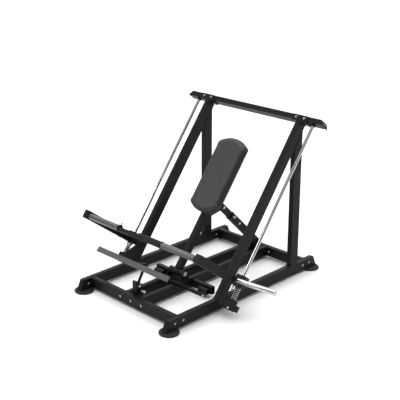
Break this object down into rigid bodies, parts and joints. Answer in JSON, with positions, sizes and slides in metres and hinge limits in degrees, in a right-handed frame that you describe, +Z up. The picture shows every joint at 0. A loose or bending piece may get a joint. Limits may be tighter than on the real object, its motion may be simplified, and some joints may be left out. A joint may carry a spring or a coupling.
{
  "type": "leg press machine",
  "caption": "Plate-loaded leg press: inclined guide-rod carriage with weight horns, adjustable back pad on a telescopic strut, tilting footrest and a rectangular tube base.",
  "frame": {"origin": "on the floor under the middle of the base", "axes": "+Z up, +X to the right seen from the footrest end, +Y towards the rear posts"},
  "size_m": [2.395, 2.07, 1.5886],
  "materials": {
    "powder_black": "satin black powder coat",
    "chrome": "polished",
    "foot_rubber": "matt",
    "block_rubber": "matt",
    "pad_vinyl": "fine grain",
    "pad_backing": "black painted plywood",
    "grip_grey": "grit coated on the footrest, satin on the press bars",
    "bearing_steel": "ground"
  },
  "bodies": {
    "frame": {"foot_front_left": "foot_rubber", "foot_front_right": "foot_rubber", "foot_rear_left": "foot_rubber", "foot_rear_right": "foot_rubber", "side_tube_left": "powder_black", "side_tube_right": "powder_black", "side_end_front_left": "powder_black", "side_end_front_right": "powder_black", "side_end_rear_left": "powder_black", "side_end_rear_right": "powder_black", "front_cross_tube": "powder_black", "rear_cross_tube": "powder_black", "spine_tube_left": "powder_black", "spine_tube_right": "powder_black", "low_cross_stub_left": "powder_black", "low_cross_stub_right": "powder_black", "spine_cross_bar": "powder_black", "inclined_rail_left": "powder_black", "inclined_rail_right": "powder_black", "rear_post_left": "powder_black", "rear_post_right": "powder_black", "top_crossbar": "powder_black", "crossbar_end_left": "powder_black", "crossbar_end_right": "powder_black", "rail_head_saddle_left": "powder_black", "rail_head_saddle_right": "powder_black", "guide_rod_left": "chrome", "guide_rod_right": "chrome", "rod_foot_bracket_left": "powder_black", "rod_foot_bracket_right": "powder_black", "bumper_spring_left": "chrome", "bumper_spring_right": "chrome", "pad_pivot_bracket": "powder_black", "strut_anchor_bracket": "powder_black", "footrest_bracket": "powder_black"},
    "carriage": {"carriage_arm_left": "powder_black", "carriage_arm_right": "powder_black", "bearing_housing_left": "powder_black", "bearing_housing_right": "powder_black", "linear_bearing_left": "bearing_steel", "linear_bearing_right": "bearing_steel", "stop_bolt_left": "chrome", "stop_bolt_right": "chrome", "weight_horn_left": "chrome", "weight_horn_right": "chrome", "press_bar_left": "grip_grey", "press_bar_right": "grip_grey", "bar_carrier": "powder_black", "rest_block": "block_rubber"},
    "backrest": {"pad_pivot_tube": "powder_black", "pad_post": "powder_black", "pad_board": "pad_backing", "back_pad": "pad_vinyl", "strut_lug_bracket": "powder_black"},
    "strut_outer": {"strut_outer_tube": "powder_black"},
    "strut_inner": {"strut_inner_tube": "powder_black"},
    "strut_pin": {"strut_pull_pin": "chrome"},
    "footrest": {"footrest_plate": "grip_grey", "footrest_prop": "powder_black"},
    "footrest_pin": {"footrest_pull_pin": "chrome"}
  },
  "joints": [
    {"name": "carriage_slide", "type": "slide", "parent": "frame", "child": "carriage", "axis": [0, 0.6018, 0.7986], "range_m": [0, 1.4]},
    {"name": "pad_tilt", "type": "hinge", "parent": "frame", "child": "backrest", "pos_m": [0, -0.298, 0.173], "axis": [1, 0, 0], "range_deg": [-10, 3]},
    {"name": "strut_swing", "type": "hinge", "parent": "frame", "child": "strut_outer", "pos_m": [0, 0.799, 0.15], "axis": [1, 0, 0], "range_deg": [-3, 5]},
    {"name": "strut_slide", "type": "slide", "parent": "strut_outer", "child": "strut_inner", "axis": [0, -0.7092, 0.705], "range_m": [-0.19, 0.09]},
    {"name": "strut_pin_pull", "type": "slide", "parent": "strut_outer", "child": "strut_pin", "axis": [1, 0, 0], "range_m": [0, 0.012], "stiffness_N_per_m": 1500, "springref_m": -0.004},
    {"name": "footrest_tilt", "type": "hinge", "parent": "frame", "child": "footrest", "pos_m": [0, -0.787, 0.2], "axis": [1, 0, 0], "range_deg": [-15, 8]},
    {"name": "footrest_pin_pull", "type": "slide", "parent": "frame", "child": "footrest_pin", "axis": [1, 0, 0], "range_m": [0, 0.012], "stiffness_N_per_m": 1500, "springref_m": -0.004}
  ],
  "couplings": [
    {"joint": "strut_swing", "follows": "pad_tilt", "ratio": -0.22},
    {"joint": "strut_slide", "follows": "pad_tilt", "m_per_rad": 0.745}
  ]
}
